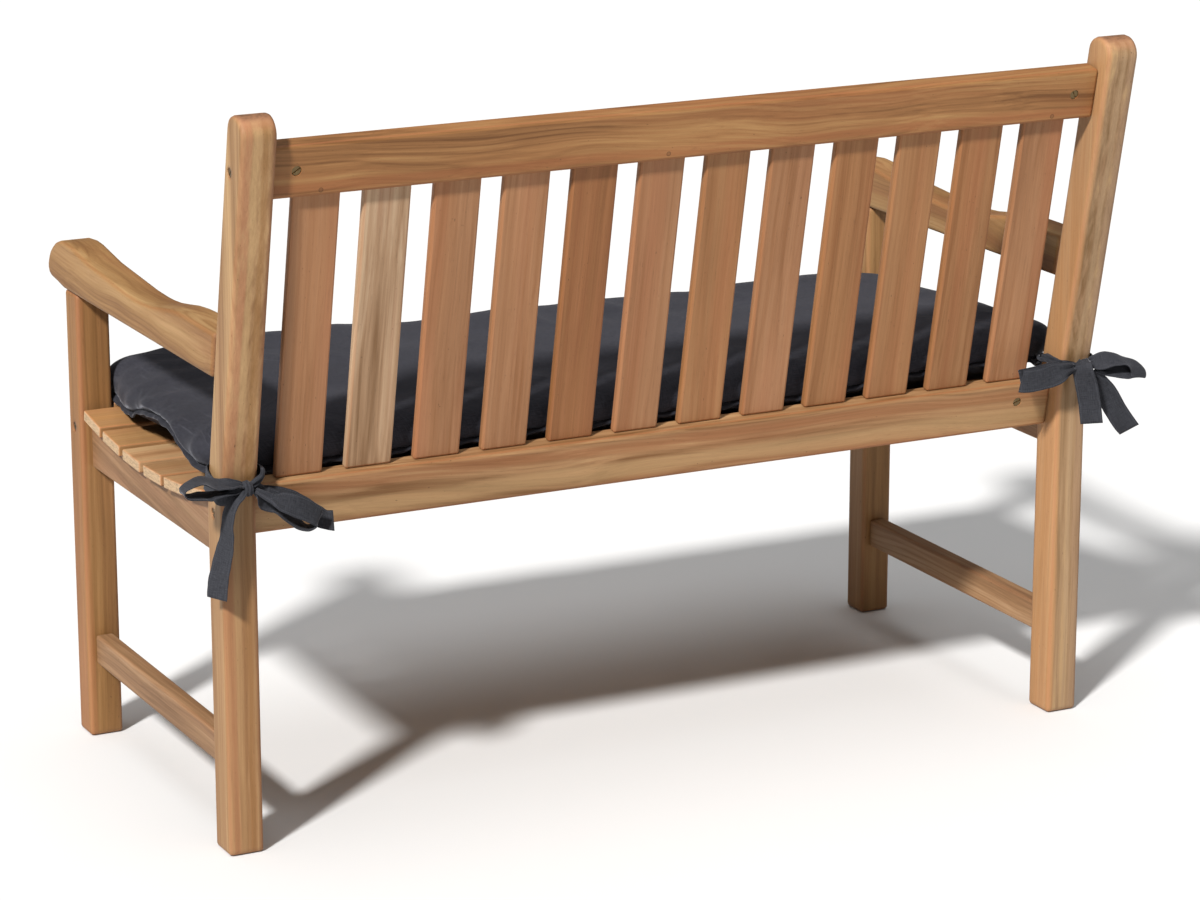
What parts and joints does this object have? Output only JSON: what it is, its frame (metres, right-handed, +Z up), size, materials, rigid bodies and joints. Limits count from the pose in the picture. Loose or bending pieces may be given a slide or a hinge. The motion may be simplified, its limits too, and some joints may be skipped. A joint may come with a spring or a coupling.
{
  "type": "garden bench seat cushion on a garden bench",
  "caption": "Filled seat cushion with a flanged seam all round, tied by tapes in bows round the rear posts of a slatted wooden garden bench.",
  "frame": {"origin": "on the floor, under the middle of the whole object", "axes": "+X along the bench to the sitter's left, +Y to the back of the bench, +Z up; the seat faces -Y"},
  "size_m": [1.3353, 0.6738, 0.9104],
  "materials": {
    "teak": "sanded bare hardwood, reddish brown, matt",
    "pale_teak": "sanded bare sapwood, pale straw brown, matt",
    "cushion_cloth": "tightly woven outdoor polyester cloth, dark grey, matt",
    "tie_cloth": "the cushion's cloth sewn as flat tape, dark grey, matt",
    "brass": "plain turned brass, slightly dull"
  },
  "bodies": {
    "root": {"cushion": "cushion_cloth", "tie_left": "tie_cloth", "tie_right": "tie_cloth", "rear_leg_left": "teak", "rear_leg_right": "teak", "front_leg_left": "teak", "front_leg_right": "teak", "top_rail": "teak", "lower_back_rail": "teak", "back_slat_1": "teak", "back_slat_2": "pale_teak", "back_slat_3": "teak", "back_slat_4": "teak", "back_slat_5": "teak", "back_slat_6": "teak", "back_slat_7": "teak", "back_slat_8": "teak", "back_slat_9": "teak", "back_slat_10": "teak", "back_slat_11": "teak", "back_slat_12": "teak", "arm_left": "teak", "arm_right": "teak", "side_rail_left": "teak", "side_rail_right": "teak", "front_rail": "teak", "centre_bearer": "teak", "seat_slat_1": "teak", "seat_slat_2": "teak", "seat_slat_3": "teak", "seat_slat_4": "teak", "seat_slat_5": "teak", "seat_slat_6": "teak", "seat_slat_7": "teak", "stretcher_left": "teak", "stretcher_right": "teak", "nut_top_rail_left": "brass", "nut_top_rail_right": "brass", "nut_lower_rail_left": "brass", "nut_lower_rail_right": "brass", "bolt_rear_leg_top_left": "brass", "bolt_rear_leg_top_right": "brass", "bolt_rear_leg_low_left": "brass", "bolt_rear_leg_low_right": "brass", "bolt_front_leg_left": "brass", "bolt_front_leg_right": "brass"}
  },
  "joints": []
}
